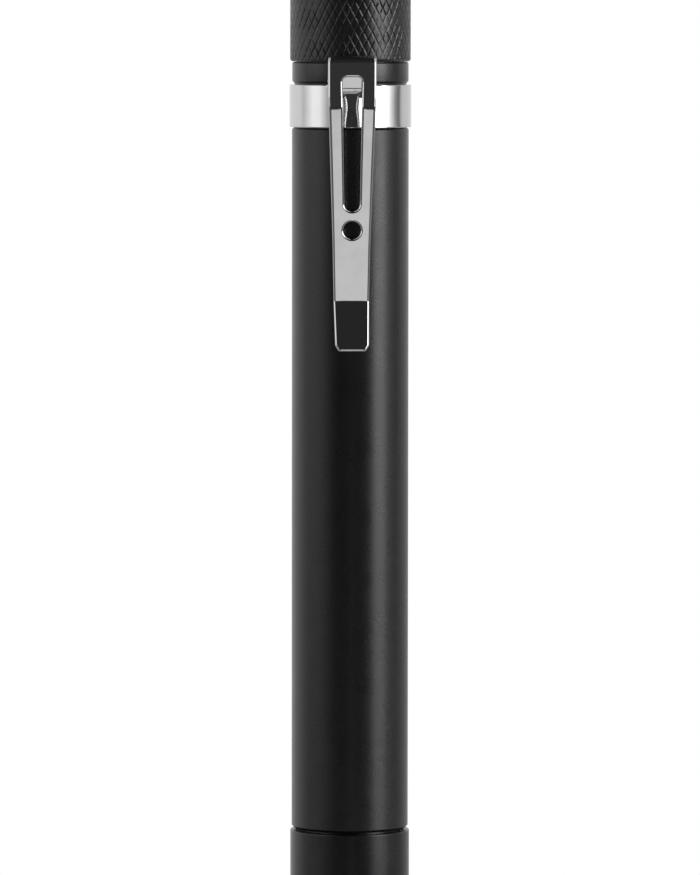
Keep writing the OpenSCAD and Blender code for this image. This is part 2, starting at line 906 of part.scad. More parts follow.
// The brass heat sink, a cup that holds the driver
module led_pill() {
    outer = lamp_bore_r - head_play;
    color([0.8, 0.66, 0.36])
        difference() {
            turned([
                [0, pill_z],
                [outer, pill_z],
                [outer, driver_end_z],
                [outer - pill_wall, driver_end_z],
                [outer - pill_wall, driver_room_z],
                [0, driver_room_z],
            ]);
            lead_holes(pill_z, driver_room_z);
        }
}

// The two leads from the driver to the light's board
module led_leads() {
    color([0.7, 0.1, 0.08])
        lead_pair(lead_d, board_z, driver_end_z);
}

// The driver's board, inside the heat sink's skirt
module driver_board() {
    color([0.1, 0.35, 0.16])
        difference() {
            translate([0, 0, driver_z])
                cylinder(r = driver_r, h = board_t);
            lead_holes(driver_z, driver_end_z);
        }
}

// The chip, the coil and two capacitors on the driver's lower face
module driver_components() {
    coil_y = -coil_place_share * driver_r;
    capacitor_x = capacitor_place_share * driver_r;
    color([0.1, 0.1, 0.1]) {
        translate([-chip_len / 2, chip_place_share * driver_r - chip_w / 2, driver_z - chip_h])
            cube([chip_len, chip_w, chip_h]);
        translate([0, coil_y, driver_z - coil_h])
            cylinder(d = coil_d, h = coil_h);
        for (side = [-1, 1])
            translate([side * capacitor_x - capacitor_w / 2, coil_y, driver_z - capacitor_w])
                cube(capacitor_w);
    }
}

// The post that the front cell's nub presses on
module front_contact() {
    color([0.85, 0.7, 0.35])
        turned([
            [0, driver_end_z],
            [post_d / 2 + contact_foot, driver_end_z],
            [post_d / 2 + contact_foot, driver_end_z + contact_foot_t],
            [post_d / 2, driver_end_z + contact_foot_t],
            [post_d / 2, cell_z],
            [0, cell_z],
        ]);
}

// The ring that keeps a cell put in the wrong way round off the driver
module contact_insulator() {
    color([0.75, 0.7, 0.55])
        band(
            post_d / 2 + contact_foot + insulator_play, bore_r - insulator_play,
            driver_end_z, driver_end_z + insulator_t
        );
}

barrel();
retaining_collar();
clip_band();
clip_arm();
tail_cap();
push_button();
switch_plunger();
moving_contact();
switch_spring();
switch_housing();
contact_plate();
switch_retainer();
tail_spring();
tail_o_ring();
battery_front();
battery_rear();
lamp_head();
head_o_ring();
lens_retainer();
lens();
lens_gasket();
reflector();
led_emitter();
led_board();
led_pill();
led_leads();
driver_board();
driver_components();
front_contact();
contact_insulator();
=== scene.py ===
"""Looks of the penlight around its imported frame: finishes, detailed pieces, studio and camera.

Lengths are in millimetres until an object is made, and MM turns them into metres there.
"""

import bisect
import json
import math

import bmesh
import bpy
import numpy as np
from mathutils import Matrix, Vector
from mathutils.geometry import delaunay_2d_cdt


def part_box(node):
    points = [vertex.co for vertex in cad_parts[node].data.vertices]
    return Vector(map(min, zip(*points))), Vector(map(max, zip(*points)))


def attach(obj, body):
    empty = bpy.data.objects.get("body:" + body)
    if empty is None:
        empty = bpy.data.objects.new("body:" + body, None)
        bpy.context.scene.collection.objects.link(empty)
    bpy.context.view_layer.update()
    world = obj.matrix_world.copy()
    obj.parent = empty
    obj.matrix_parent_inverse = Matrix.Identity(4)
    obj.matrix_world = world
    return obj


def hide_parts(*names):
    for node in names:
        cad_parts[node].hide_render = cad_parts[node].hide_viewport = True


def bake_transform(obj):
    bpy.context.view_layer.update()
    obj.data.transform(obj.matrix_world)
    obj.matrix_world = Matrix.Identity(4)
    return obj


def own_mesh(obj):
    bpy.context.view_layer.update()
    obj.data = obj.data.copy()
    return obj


MM = 0.001
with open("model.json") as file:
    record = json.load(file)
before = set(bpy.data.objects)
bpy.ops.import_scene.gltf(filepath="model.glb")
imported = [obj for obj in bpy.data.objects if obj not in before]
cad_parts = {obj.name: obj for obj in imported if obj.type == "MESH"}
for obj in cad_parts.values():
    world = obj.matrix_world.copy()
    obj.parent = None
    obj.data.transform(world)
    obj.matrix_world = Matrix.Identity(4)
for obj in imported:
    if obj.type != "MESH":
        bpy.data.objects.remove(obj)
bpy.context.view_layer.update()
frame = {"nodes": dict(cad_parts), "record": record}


def span(node):
    """Lowest and highest corner of a CAD node, in millimetres."""
    low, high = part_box(node)
    return low / MM, high / MM


# Finishes

NOISE_ROUGHNESS = 0.6
NOISE_MIDDLE = (0.3, 0.7)
FINE_DETAIL = 3
BROAD_DETAIL = 4
PATCH = 2.5
MIX_FACTOR, MIX_FIRST, MIX_SECOND, MIX_RESULT = 0, 6, 7, 2


def socket_values(shader, values):
    """Sets a shader's sockets by name."""
    for name, value in values.items():
        shader.inputs[name].default_value = value


def grain_noise(tree, size, detail):
    """A noise texture in the piece's own coordinates, with bumps about size millimetres wide."""
    coordinates = tree.nodes.new("ShaderNodeTexCoord")
    noise = tree.nodes.new("ShaderNodeTexNoise")
    values = {"Scale": 1 / (size * MM), "Detail": detail, "Roughness": NOISE_ROUGHNESS}
    socket_values(noise, values)
    tree.links.new(coordinates.outputs["Object"], noise.inputs["Vector"])
    return noise.outputs["Fac"]


def spread_value(tree, factor, low, high):
    """A noise factor's middle range, spread from low to high."""
    spread = tree.nodes.new("ShaderNodeMapRange")
    start, end = NOISE_MIDDLE
    socket_values(spread, {"From Min": start, "From Max": end, "To Min": low, "To Max": high})
    tree.links.new(factor, spread.inputs["Value"])
    return spread.outputs["Result"]


def two_tones(tree, factor, first, second):
    """A colour that goes from first to second with the factor."""
    mix = tree.nodes.new("ShaderNodeMix")
    mix.data_type = "RGBA"
    mix.inputs[MIX_FIRST].default_value = (*first, 1)
    mix.inputs[MIX_SECOND].default_value = (*second, 1)
    tree.links.new(spread_value(tree, factor, 0, 1), mix.inputs[MIX_FACTOR])
    return mix.outputs[MIX_RESULT]


def finish(name, tones, roughness, grain, depth, **fixed):
    """A procedural finish.

    tones are its darkest and lightest colour, roughness its lowest and highest value, grain
    and depth the width and height of its bumps, and fixed any other values of the shader.
    """
    material = bpy.data.materials.new(name)
    material.use_nodes = True
    tree = material.node_tree
    shader = tree.nodes["Principled BSDF"]
    socket_values(shader, {key.replace("_", " "): value for key, value in fixed.items()})
    fine = grain_noise(tree, grain, FINE_DETAIL)
    broad = grain_noise(tree, PATCH, BROAD_DETAIL)
    tree.links.new(two_tones(tree, fine, *tones), shader.inputs["Base Color"])
    tree.links.new(spread_value(tree, broad, *roughness), shader.inputs["Roughness"])
    bump = tree.nodes.new("ShaderNodeBump")
    socket_values(bump, {"Distance": depth * MM})
    tree.links.new(fine, bump.inputs["Height"])
    tree.links.new(bump.outputs["Normal"], shader.inputs["Normal"])
    return material


def grey(value, warmth=0.0):
    """A grey, slightly warm where warmth is above zero."""
    return (value * (1 + warmth), value, value * (1 - warmth))


FINISHES = {
    "barrel_finish": finish(
        "anodised_satin", (grey(0.006), grey(0.01)), (0.25, 0.31), 0.14, 0.006, IOR=1.55
    ),
    "head_finish": finish(
        "anodised_smooth", (grey(0.0015), grey(0.003)), (0.24, 0.29), 0.12, 0.003, IOR=1.55
    ),
    "cap_finish": finish(
        "anodised_knurl", (grey(0.003), grey(0.007)), (0.28, 0.36), 0.1, 0.006, IOR=1.6
    ),
    "clip_chrome": finish(
        "bright_chrome", (grey(0.62), grey(0.64)), (0.05, 0.09), 1.6, 0.0006, Metallic=1.0
    ),
    "black_rubber": finish(
        "black_rubber", (grey(0.014), grey(0.022)), (0.62, 0.78), 0.09, 0.012, IOR=1.45
    ),
    "brass": finish(
        "turned_brass",
        ((0.68, 0.46, 0.19), (0.8, 0.58, 0.28)),
        (0.22, 0.34),
        0.25,
        0.003,
        Metallic=1.0,
    ),
    "spring_steel": finish(
        "drawn_wire", (grey(0.5, 0.01), grey(0.62, 0.02)), (0.2, 0.32), 0.12, 0.003, Metallic=1.0
    ),
    "nickel": finish(
        "nickel_plate", (grey(0.55, 0.03), grey(0.64, 0.04)), (0.2, 0.3), 0.2, 0.003, Metallic=1.0
    ),
    "ivory_plastic": finish(
        "ivory_plastic", ((0.68, 0.64, 0.55), (0.75, 0.71, 0.62)), (0.4, 0.52), 0.2, 0.006
    ),
    "cell_can": finish(
        "cell_sleeve",
        ((0.2, 0.23, 0.27), (0.26, 0.29, 0.33)),
        (0.24, 0.34),
        0.3,
        0.002,
        Metallic=0.8,
    ),
    "lens_glass": finish(
        "clear_glass",
        (grey(0.97), grey(1.0)),
        (0.0, 0.02),
        3.0,
        0.0002,
        IOR=1.5,
        Transmission_Weight=1.0,
    ),
    "reflector_mirror": finish(
        "plated_mirror", (grey(0.86), grey(0.9)), (0.04, 0.09), 0.5, 0.0006, Metallic=1.0
    ),
    "light_dome": finish(
        "clear_dome",
        (grey(0.98), grey(1.0)),
        (0.02, 0.05),
        1.0,
        0.0002,
        IOR=1.45,
        Transmission_Weight=1.0,
    ),
    "white_board": finish("white_mask", (grey(0.72), grey(0.8)), (0.3, 0.42), 0.3, 0.004),
    "green_board": finish(
        "green_mask", ((0.02, 0.12, 0.05), (0.03, 0.17, 0.07)), (0.25, 0.38), 0.35, 0.004
    ),
    "black_parts": finish("moulded_parts", (grey(0.02), grey(0.03)), (0.4, 0.55), 0.1, 0.006),
    "red_lead": finish(
        "red_sleeve", ((0.4, 0.02, 0.015), (0.5, 0.03, 0.02)), (0.35, 0.45), 0.2, 0.004
    ),
    "fibre": finish(
        "pressed_fibre", ((0.34, 0.25, 0.13), (0.46, 0.36, 0.2)), (0.6, 0.75), 0.15, 0.01
    ),
}
PHOSPHOR = finish(
    "yellow_phosphor", ((0.78, 0.62, 0.05), (0.86, 0.7, 0.09)), (0.5, 0.65), 0.06, 0.004
)
CERAMIC = finish("white_ceramic", (grey(0.76), grey(0.84)), (0.4, 0.5), 0.1, 0.004)

for entry in frame["record"]["subparts"]:
    frame["nodes"][entry["node"]].material_slots[0].material = FINISHES[entry["material_slot"]]


# Outlines and meshes

ARC_STEP = math.radians(9)
ARC_STEPS_LEAST = 3
ON_AXIS = 1e-6
SEGMENTS = 192
SHARP_ANGLE = 30


def rounded(corners, closed=False):
    """An outline through [x, y] or [x, y, radius] corners, with an arc where a radius is given."""
    made = []
    for i, corner in enumerate(corners):
        here = Vector(corner[:2])
        if len(corner) < 3 or (not closed and i in (0, len(corners) - 1)):
            made.append(here)
            continue
        radius = corner[2]
        before = (Vector(corners[i - 1][:2]) - here).normalized()
        after = (Vector(corners[(i + 1) % len(corners)][:2]) - here).normalized()
        half = before.angle(after) / 2
        middle = here + (before + after).normalized() * radius / math.sin(half)
        start = here + before * radius / math.tan(half) - middle
        turn = (math.pi - 2 * half) * (1 if before.cross(after) < 0 else -1)
        steps = max(ARC_STEPS_LEAST, math.ceil(abs(turn) / ARC_STEP))
        for k in range(steps + 1):
            made.append(middle + Matrix.Rotation(turn * k / steps, 2) @ start)
    return made


def no_relief(k, height):
    """The relief of a row that isn't cut back."""
    return 0


def ring_of(radius, height, segments, relief):
    """The points of one turn at the given radius and height, less the relief."""
    points = []
    for k in range(segments):
        angle, reach = math.tau * k / segments, radius - relief(k, height)
        points.append((reach * math.cos(angle), reach * math.sin(angle), height))
    return points


def turned(outline, segments=SEGMENTS, relief=no_relief, relieved=range(0), slant=None):
    """Points and faces of a closed (radius, height) outline turned round the axis.

    The rows named by relieved are cut back by relief, and slant says which way their faces split.
    """
    vertices, faces, starts = [], [], []
    for row, (radius, height) in enumerate(outline):
        starts.append(len(vertices))
        if radius < ON_AXIS:
            vertices.append((0, 0, height))
        else:
            cut = relief if row in relieved else no_relief
            vertices += ring_of(radius, height, segments, cut)
    for row, (radius, height) in enumerate(outline):
        after = (row + 1) % len(outline)
        low, high = starts[row], starts[after]
        on_axis = radius < ON_AXIS, outline[after][0] < ON_AXIS
        if all(on_axis):
            continue
        for k in range(segments):
            m = (k + 1) % segments
            if on_axis[0]:
                faces.append((low, high + m, high + k))
            elif on_axis[1]:
                faces.append((low + k, low + m, high))
            elif row in relieved and after in relieved:
                if slant(k, (height + outline[after][1]) / 2):
                    faces += [(low + k, low + m, high + k), (low + m, high + m, high + k)]
                else:
                    faces += [(low + k, low + m, high + m), (low + k, high + m, high + k)]
            else:
                faces.append((low + k, low + m, high + m, high + k))
    return vertices, faces


def joined(*parts):
    """Several lists of points and faces as one."""
    vertices, faces = [], []
    for points, polygons in parts:
        faces += [tuple(index + len(vertices) for index in polygon) for polygon in polygons]
        vertices += points
    return vertices, faces


def dress(piece, body, slot, nodes):
    """Puts a piece on its body, in the place of its CAD nodes and with its finish."""
    if not piece.data.materials:
        piece.data.materials.append(FINISHES[slot])
    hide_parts(*nodes)
    if body:
        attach(piece, body)
    return piece


def solid(name, shape, sharp=SHARP_ANGLE):
    """An object of the given points and faces, smooth but for edges sharper than the angle."""
    mesh = bpy.data.meshes.new(name)
    mesh.from_pydata([Vector(point) * MM for point in shape[0]], [], shape[1])
    flipped = bmesh.new()
    flipped.from_mesh(mesh)
    bmesh.ops.recalc_face_normals(flipped, faces=flipped.faces)
    flipped.to_mesh(mesh)
    flipped.free()
    mesh.shade_smooth()
    mesh.set_sharp_from_angle(angle=math.radians(sharp))
    piece = bpy.data.objects.new(name, mesh)
    bpy.context.scene.collection.objects.link(piece)
    weighted = piece.modifiers.new("normals", "WEIGHTED_NORMAL")
    weighted.keep_sharp = True
    return piece


# Threads: right-hand, so that the cap's turn and travel keep both threads in step

PITCH = 1.0
RIDGE_SHARES = (0.1, 0.35, 0.65, 0.9)
THREAD_STEPS = 48
RUN_OUT_TURNS = 0.5


def thread(root, crest, low, high, phase=0.0):
    """A helical ridge from the root's radius to the crest's, tapering out at both ends."""
    turns = (high - low) / PITCH - 1
    steps, corners = round(turns * THREAD_STEPS), len(RIDGE_SHARES)
    vertices, faces = [], []
    for i in range(steps + 1):
        angle = math.tau * i / THREAD_STEPS + phase
        grown = min(1, min(i, steps - i) / THREAD_STEPS / RUN_OUT_TURNS)
        top = root + (crest - root) * grown
        for share, radius in zip(RIDGE_SHARES, (root, top, top, root)):
            height = low + PITCH * (i / THREAD_STEPS + share)
            vertices.append((radius * math.cos(angle), radius * math.sin(angle), height))
    for i in range(steps):
        for k in range(corners - 1):
            a = corners * i + k
            faces.append((a, a + corners, a + corners + 1, a + 1))
    return vertices, faces


# Barrel, collar and lamp head

barrel_low, barrel_high = span("barrel")
head_high = span("lamp_head")[1]
cap_low, cap_high = span("tail_cap")
collar_low, collar_high = span("retaining_collar")
band_low, band_high = span("clip_band")
arm_low, arm_high = span("clip_arm")
tail_seal_low, tail_seal_high = span("tail_o_ring")
head_seal_low, head_seal_high = span("head_o_ring")
cell_high = span("battery_rear")[1]

CELL_GAP = 0.1
FIT_GAP = 0.05
SEAM = 0.22
HEAD_DROP = 0.19
NECK_WALL = 0.5
THREAD_DEPTH = 0.25
THREAD_GAP = 0.05
SEAT_STEP = 0.19
SEAL_SIDE = 0.05
RELIEF = 0.3
RELIEF_SIDE = 0.35
LIP_H = 0.2
LIP_OUT = 0.11
RING_GAP = 0.08
BARREL_BEVEL = 0.2
FOOT_BEVEL = 0.3
BEVEL_ROUND = 0.05
COLLAR_BEVEL_LOW = 0.19
COLLAR_BEVEL_HIGH = 0.12
COLLAR_ROUND_IN = 0.04
COLLAR_ROUND_LOW = 0.06
COLLAR_ROUND_HIGH = 0.05
MOUTH_BEVEL = 0.15
RIM_BEVEL = 0.35
RIM_ROUND_IN = 0.1
RIM_ROUND_OUT = 0.2
HEAD_TOP_ROUND = 0.12
MIRROR_FLANGE = 1.1

bore_r = cell_high.x + CELL_GAP
root_r = bore_r + NECK_WALL
crest_r = root_r + THREAD_DEPTH
screw_r = crest_r + THREAD_GAP
seat_r = crest_r + SEAT_STEP
relief_r = crest_r - RELIEF
head_top = head_high.z - HEAD_DROP
body_foot = head_top + SEAM
body_top = band_low.z - RING_GAP


def seal_groove(seal_low, seal_high):
    """The corners of a rubber ring's groove in a neck, from low to high."""
    low, high = seal_low.z - SEAL_SIDE, seal_high.z + SEAL_SIDE
    depth = seal_high.z - seal_low.z
    return [(crest_r, low), (crest_r - depth, low), (crest_r - depth, high), (crest_r, high)]


def make_barrel():
    """The tube with rounded edges, two necks, the seat of the clip's ring and helical threads."""
    ridge_z = tail_seal_high.z + SEAL_SIDE + THREAD_DEPTH
    head_end = head_seal_low.z - SEAL_SIDE - THREAD_DEPTH
    outline = rounded(
        [
            (bore_r, barrel_low.z),
            (root_r, barrel_low.z),
            (root_r, head_end),
            *seal_groove(head_seal_low, head_seal_high),
            (crest_r, head_top - RELIEF_SIDE),
            (relief_r, head_top - RELIEF_SIDE),
            (relief_r, body_foot),
            (barrel_high.x - FOOT_BEVEL, body_foot, BEVEL_ROUND),
            (barrel_high.x, body_foot + FOOT_BEVEL, BEVEL_ROUND),
            (barrel_high.x, body_top - BARREL_BEVEL, BEVEL_ROUND),
            (barrel_high.x - BARREL_BEVEL, body_top),
            (seat_r, body_top),
            (seat_r, collar_low.z - LIP_H),
            (seat_r + LIP_OUT, collar_low.z),
            (crest_r, collar_low.z),
            *seal_groove(tail_seal_low, tail_seal_high),
            (crest_r, ridge_z),
            (root_r, ridge_z),
            (root_r, barrel_high.z),
            (bore_r, barrel_high.z),
        ],
        closed=True,
    )
    upper = thread(root_r, crest_r, ridge_z, barrel_high.z)
    lower = thread(root_r, crest_r, barrel_low.z, head_end)
    shape = joined(turned(outline), upper, lower)
    return dress(solid("barrel_tube", shape), "barrel", "barrel_finish", ["barrel"])


def make_collar():
    """The collar, with a fine bevel above and a wider one below."""
    outer = collar_high.x
    outline = rounded(
        [
            (screw_r, collar_low.z),
            (outer - COLLAR_BEVEL_LOW, collar_low.z, COLLAR_ROUND_IN),
            (outer, collar_low.z + COLLAR_BEVEL_LOW, COLLAR_ROUND_LOW),
            (outer, collar_high.z - COLLAR_BEVEL_HIGH, COLLAR_ROUND_HIGH),
            (outer - COLLAR_BEVEL_HIGH, collar_high.z, COLLAR_ROUND_IN),
            (screw_r, collar_high.z),
        ],
        closed=True,
    )
    ring = solid("collar_ring", turned(outline))
    return dress(ring, "barrel", "barrel_finish", ["retaining_collar"])


def make_head():
    """The smooth lamp head with its mouth, shoulder and screwed bore."""
    lens_high, pill_high = span("lens")[1], span("led_pill")[1]
    outer = head_high.x
    mouth_r = lens_high.x + FIT_GAP
    lamp_r = pill_high.x + FIT_GAP
    shoulder = span("reflector")[0].z + MIRROR_FLANGE
    outline = rounded(
        [
            (mouth_r + MOUTH_BEVEL, 0),
            (outer - RIM_BEVEL, 0, RIM_ROUND_IN),
            (outer, RIM_BEVEL, RIM_ROUND_OUT),
            (outer, head_top, HEAD_TOP_ROUND),
            (screw_r, head_top),
            (screw_r, pill_high.z),
            (lamp_r, pill_high.z),
            (lamp_r, shoulder),
            (mouth_r, shoulder),
            (mouth_r, MOUTH_BEVEL),
        ],
        closed=True,
    )
    return dress(solid("head_shell", turned(outline)), "barrel", "head_finish", ["lamp_head"])


make_barrel()
make_collar()
make_head()


# Tail cap with its knurl, and the push button

KNURLS_ROUND = 45
KNURL_SPLIT = 10
KNURL_HEIGHT = 1.72
KNURL_ASIDE = 1
KNURL_UP = 3
KNURL_DEPTH = 0.05
KNURL_WOBBLE = 0.3
KNURL_GROOVE = 0.33
KNURL_LENGTH = 13.2
KNURL_SHARP = 55
KNURL_FIRST_ROW = 2
WAVES_ROUND = (3, 5)
WAVE_RISES = (1, -0.7)
FOOT_ROUND = 0.35
END_WALL = 1.2
TOP_BEVEL = 0.7
PLAIN_STEP = 0.1
STEP_ROUND_IN = 0.05
STEP_ROUND_OUT = 0.1
TOP_ROUND_LOW = 0.25
TOP_ROUND_HIGH = 0.2
HOLE_BEVEL = 0.2
HOLE_ROUND = 0.05
SCREW_ROOM = 0.2
SEAL_LAND = 0.2
CAP_THREAD_START = 0.5
BUTTON_GAP = 0.08
BUTTON_R = 3.7
BUTTON_SEGMENTS = 128
BUTTON_ROUND = 0.8
# Radius, depth and rounding of the corners of the button's top, from its moulded ring inwards
BUTTON_TOP = [(2.35, 0, 0.1), (2.15, 0.22, 0.12), (1.75, 0.22, 0.12), (1.55, 0.04, 0.1), (0, 0.02)]
FLANGE_ROUND = 0.15
FLANGE_GAP = 0.1
SOCKET_R = 2.7
SOCKET_GAP = 0.02


def knurl_place(k, height):
    """Where a point lies between the middles of two neighbouring diamonds, across and upwards.

    The pattern starts KNURL_ASIDE columns and KNURL_UP rows of points from the cap's first ones.
    """
    across = ((k - KNURL_ASIDE) / KNURL_SPLIT) % 1
    upwards = ((height - cap_low.z - FOOT_ROUND) / KNURL_HEIGHT - KNURL_UP / KNURL_SPLIT) % 1
    return across * 2 - 1, upwards * 2 - 1


def knurl_cut(k, height):
    """Depth of the knurl's grooves at a point: they run out softly and are a little uneven."""
    across, upwards = knurl_place(k, height)
    away = abs(abs(across) + abs(upwards) - 1)
    turn = math.tau * k / (KNURLS_ROUND * KNURL_SPLIT)
    wobble = KNURL_WOBBLE
    for waves, rise in zip(WAVES_ROUND, WAVE_RISES):
        wobble *= math.sin(waves * turn + rise * height)
    return KNURL_DEPTH * (1 + wobble) * max(0, 1 - away / KNURL_GROOVE) ** 2


def knurl_slant(k, height):
    """Whether a face of the knurl splits along the rising or the falling grooves."""
    across, upwards = knurl_place(k + 0.5, height)
    return across * upwards > 0


def make_cap():
    """The cap: knurled grip, plain band, end wall round the button, switch bay and thread."""
    outer = cap_high.x
    retainer_z = span("switch_retainer")[0].z
    bay_r = span("switch_housing")[1].x + FIT_GAP
    bay_top = cap_high.z - END_WALL
    grip_top = cap_low.z + KNURL_LENGTH
    row = KNURL_HEIGHT / KNURL_SPLIT
    corners = [(screw_r, cap_low.z), (outer, cap_low.z, FOOT_ROUND), (outer, grip_top)]
    foot = rounded(corners)[:-1]
    rows = int((grip_top - PLAIN_STEP - foot[-1].y) / row)
    grip = [(outer, foot[-1].y + row * (i + 1)) for i in range(rows)]
    plain = outer - PLAIN_STEP
    hole = BUTTON_R + BUTTON_GAP
    root = screw_r + SCREW_ROOM
    thread_z = tail_seal_high.z + CAP_THREAD_START
    rest = rounded(
        [
            (plain, grip_top - PLAIN_STEP),
            (outer - 2 * PLAIN_STEP, grip_top, STEP_ROUND_IN),
            (plain, grip_top + 2 * PLAIN_STEP, STEP_ROUND_OUT),
            (plain, cap_high.z - TOP_BEVEL, TOP_ROUND_LOW),
            (plain - TOP_BEVEL, cap_high.z, TOP_ROUND_HIGH),
            (hole + HOLE_BEVEL, cap_high.z, HOLE_ROUND),
            (hole, cap_high.z - HOLE_BEVEL, HOLE_ROUND),
            (hole, bay_top),
            (bay_r, bay_top),
            (bay_r, retainer_z),
            (root, retainer_z),
            (root, tail_seal_high.z + 2 * SEAL_LAND),
            (screw_r, tail_seal_high.z + SEAL_LAND),
            (screw_r, cap_low.z),
        ]
    )[:-1]
    outline = [*foot, *grip, *rest]
    knurled = range(KNURL_FIRST_ROW, len(foot) + len(grip))
    shape = joined(
        turned(outline, KNURLS_ROUND * KNURL_SPLIT, knurl_cut, knurled, knurl_slant),
        thread(root, screw_r, thread_z, retainer_z, math.pi),
    )
    return dress(solid("cap_shell", shape, KNURL_SHARP), "tail_cap", "cap_finish", ["tail_cap"])


def make_button():
    """The rubber button with a rounded top, a shallow moulded ring in it, a flange and a socket."""
    low, high = span("push_button")
    socket_z = span("switch_plunger")[1].z + SOCKET_GAP
    flange_z = cap_high.z - END_WALL - FLANGE_GAP
    outline = rounded(
        [
            (SOCKET_R, low.z),
            (high.x, low.z, FLANGE_ROUND),
            (high.x, flange_z, FLANGE_ROUND),
            (BUTTON_R, flange_z),
            (BUTTON_R, high.z, BUTTON_ROUND),
            *((radius, high.z - depth, *rest) for radius, depth, *rest in BUTTON_TOP),
            (0, socket_z),
            (SOCKET_R, socket_z),
        ],
        closed=True,
    )
    button = solid("button_cap", turned(outline, BUTTON_SEGMENTS))
    return dress(button, "push_button", "black_rubber", ["push_button"])


make_cap()
make_button()


# Clip: a flat blank, drawn as (across, along), laid along a centre line in side view

SHEET = 0.54

# The rounding of its edges, which grows narrow between two distances along the blank
EDGE_STEPS = 6
EDGE_WIDE = 0.305
EDGE_NARROW = 0.25
NARROW_FROM, NARROW_TO = 20, 30
RING_EDGE = 0.09

# The blank's outline: widths, drops from the top of the fold, and radii
RING_H = 4.87
ROOT_SIDE = 0.02
FILLET = 0.4
CLIP_W = 5.4
CLIP_MIDDLE_W = 4.26
CLIP_KNEE_W = 4.02
CLIP_TIP_W = 3.8
TAPER_DROP = 4.5
MIDDLE_DROP = 21.0
ASIDE = 0.055
SIDE_ROUND = 12.0
TIP_CUT = 0.42
TIP_CUT_H = 0.7
TIP_ROUND = 0.4
SLOT_TOP = 2.35
SLOT_FOOT = 17.34
SLOT_TOP_W = 2.24
SLOT_FOOT_W = 1.66
SLOT_TOP_R = 0.5
SLOT_FOOT_R = 0.8
EYE_D = 1.94
EYE_DROP = 19.48

# The centre line: the step over the collar, the neck, the fold, the upright arm and the knee
JOG_H = 0.94
JOG_BEND = 0.58
JOG_END = 0.36
JOG_ROUNDS = (0.15, 0.5, 0.2)
NECK_GAP = 0.06
NECK_LEAD = 0.1
NECK_ROUND = 1.0
FOLD_INNER_R = 0.375
UPRIGHT = 5.77
UPRIGHT_ROUND = 6.0
TIP = 5.58
KNEE_ROUND = 0.35

# How the blank goes from round to flat at the neck's foot, and the swell in the ring below
JOG_HALF = 1.4
JOG_SIDE = 0.6
STRIP_GROWTH = 0.9
FLAT_BEFORE = 0.5
FLAT_AFTER = 0.3
BULGE = 0.07
BULGE_WIDE = 0.55
BULGE_AT = 2.3
BULGE_LONG = 1.4

# How finely the sheet is drawn
RING_COLUMNS = 180
RING_ROW = 0.3
RING_ROWS_OVER = 1
ARM_ROW = 0.9
ARM_ROWS_FROM = 1.5
STRAIGHT = 0.5
STRAIGHT_END = 0.08
EYE_SIDES = 48
FILL_RING, FILL_ARM, FILL_NECK = 16, 12, 21
FILL_PAST = 1.6
FILL_FREE = 1.6
FILL_NECK_HALF = 1.5
FILL_CLEAR = 0.12
STOP_GAP = 0.02
LAST_SHARE = 0.999
LEVEL_STEP = 1e-6
MERGE_GAP = 1e-7
SMALL_STEP = 0.001
ROW_DIGITS = 6
PLACE_DIGITS = 5

ring_mid = band_high.x - SHEET / 2
fold_out = -band_low.y
fold_r = FOLD_INNER_R + SHEET / 2
neck_out = fold_out - fold_r
arm_out = fold_out + fold_r
fold_mid_z = band_high.z - SHEET / 2
ring_top_z = band_low.z + RING_H
neck_foot_out = collar_high.x + NECK_GAP + SHEET / 2
knee_out = -arm_high.y + SHEET / 2
tip_out = -arm_low.y - SHEET / 2
upright_z = band_high.z - UPRIGHT
knee_z = arm_low.z + TIP

centre = rounded(
    [
        (ring_mid, band_low.z),
        (ring_mid, ring_top_z - JOG_H, JOG_ROUNDS[0]),
        (neck_foot_out, ring_top_z - JOG_BEND, JOG_ROUNDS[1]),
        (neck_foot_out, ring_top_z - JOG_END, JOG_ROUNDS[2]),
        (neck_out, fold_mid_z - fold_r - NECK_LEAD, NECK_ROUND),
        (neck_out, fold_mid_z, fold_r),
        (arm_out, fold_mid_z, fold_r),
        (arm_out, upright_z, UPRIGHT_ROUND),
        (knee_out, knee_z, KNEE_ROUND),
        (tip_out, arm_low.z),
    ]
)
along = [0.0]
for one, other in zip(centre, centre[1:]):
    along.append(along[-1] + (other - one).length)
clip_end = along[-1]


def centre_at(distance):
    """The centre line's (outward, height) at a distance along it."""
    i = min(max(bisect.bisect_right(along, distance) - 1, 0), len(along) - 2)
    share = (distance - along[i]) / (along[i + 1] - along[i])
    return centre[i].lerp(centre[i + 1], share)


def along_arm(height):
    """The distance along the centre line of a height on the arm."""
    for i in range(len(centre) - 1, 0, -1):
        if centre[i].y <= height <= centre[i - 1].y:
            share = (centre[i - 1].y - height) / (centre[i - 1].y - centre[i].y)
            return along[i - 1] + share * (along[i] - along[i - 1])
    raise ValueError("no such height on the arm")


def eased(value, low, high):
    """0 below low, 1 above high and a smooth rise in between."""
    share = min(1, max(0, (value - low) / (high - low)))
    return share * share * (3 - 2 * share)


def laid(across, distance):
    """The place of a point of the blank: round the barrel in the ring, flat above it."""
    outward, height = centre_at(distance)
    jog = RING_H - JOG_H
    reach = JOG_HALF + (CLIP_W / 2 - JOG_HALF) * eased(distance, jog, RING_H + STRIP_GROWTH)
    strip = 1 - eased(abs(across), reach, reach + JOG_SIDE)
    off = (across / BULGE_WIDE) ** 2 + ((distance - BULGE_AT) / BULGE_LONG) ** 2
    step = (outward - ring_mid) * strip + BULGE * math.exp(-off)
    flat = strip * eased(distance, jog - FLAT_BEFORE, jog + FLAT_AFTER)
    angle = across / ring_mid
    curved = Vector((ring_mid * math.sin(angle), -ring_mid * math.cos(angle) - step, height))
    plane = Vector((across, -ring_mid - step, height))
    return curved.lerp(plane, flat)


